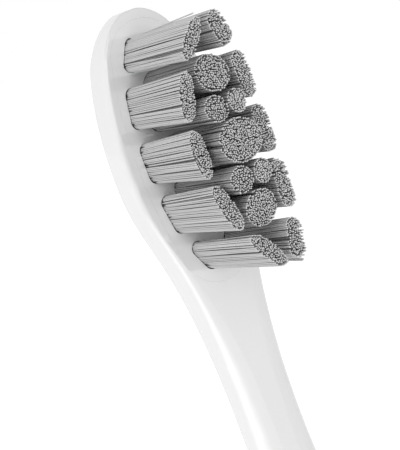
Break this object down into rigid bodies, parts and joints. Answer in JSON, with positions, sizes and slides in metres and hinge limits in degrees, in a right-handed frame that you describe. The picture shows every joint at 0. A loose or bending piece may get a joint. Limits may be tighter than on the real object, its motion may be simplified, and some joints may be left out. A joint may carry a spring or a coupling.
{
  "type": "electric toothbrush head",
  "caption": "Click-on brush head for a sonic toothbrush: slim neck flaring to a shaft socket, and an oval head whose flat face carries bars and rounds of trimmed bristles.",
  "frame": {"origin": "centre of the base rim, on the axis of the drive shaft", "axes": "+Z along the neck to the tip, bristles point along -Y, +X is the right side seen from the bristles"},
  "size_m": [0.0126, 0.0201, 0.0771],
  "materials": {
    "body_plastic": "gloss",
    "socket_plastic": "satin",
    "spring_steel": "satin",
    "bristle_nylon": "satin filaments"
  },
  "bodies": {
    "root": {"brush_body": "body_plastic", "tuft_plate": "body_plastic", "shaft_socket": "socket_plastic", "shaft_spring": "spring_steel", "tuft_left_1": "bristle_nylon", "tuft_left_2": "bristle_nylon", "tuft_left_3": "bristle_nylon", "tuft_left_4": "bristle_nylon", "tuft_left_5": "bristle_nylon", "tuft_right_1": "bristle_nylon", "tuft_right_2": "bristle_nylon", "tuft_right_3": "bristle_nylon", "tuft_right_4": "bristle_nylon", "tuft_right_5": "bristle_nylon", "tuft_middle_1": "bristle_nylon", "tuft_middle_2_left": "bristle_nylon", "tuft_middle_2_right": "bristle_nylon", "tuft_middle_3": "bristle_nylon", "tuft_middle_4_left": "bristle_nylon", "tuft_middle_4_right": "bristle_nylon", "tuft_middle_5": "bristle_nylon"}
  },
  "joints": []
}
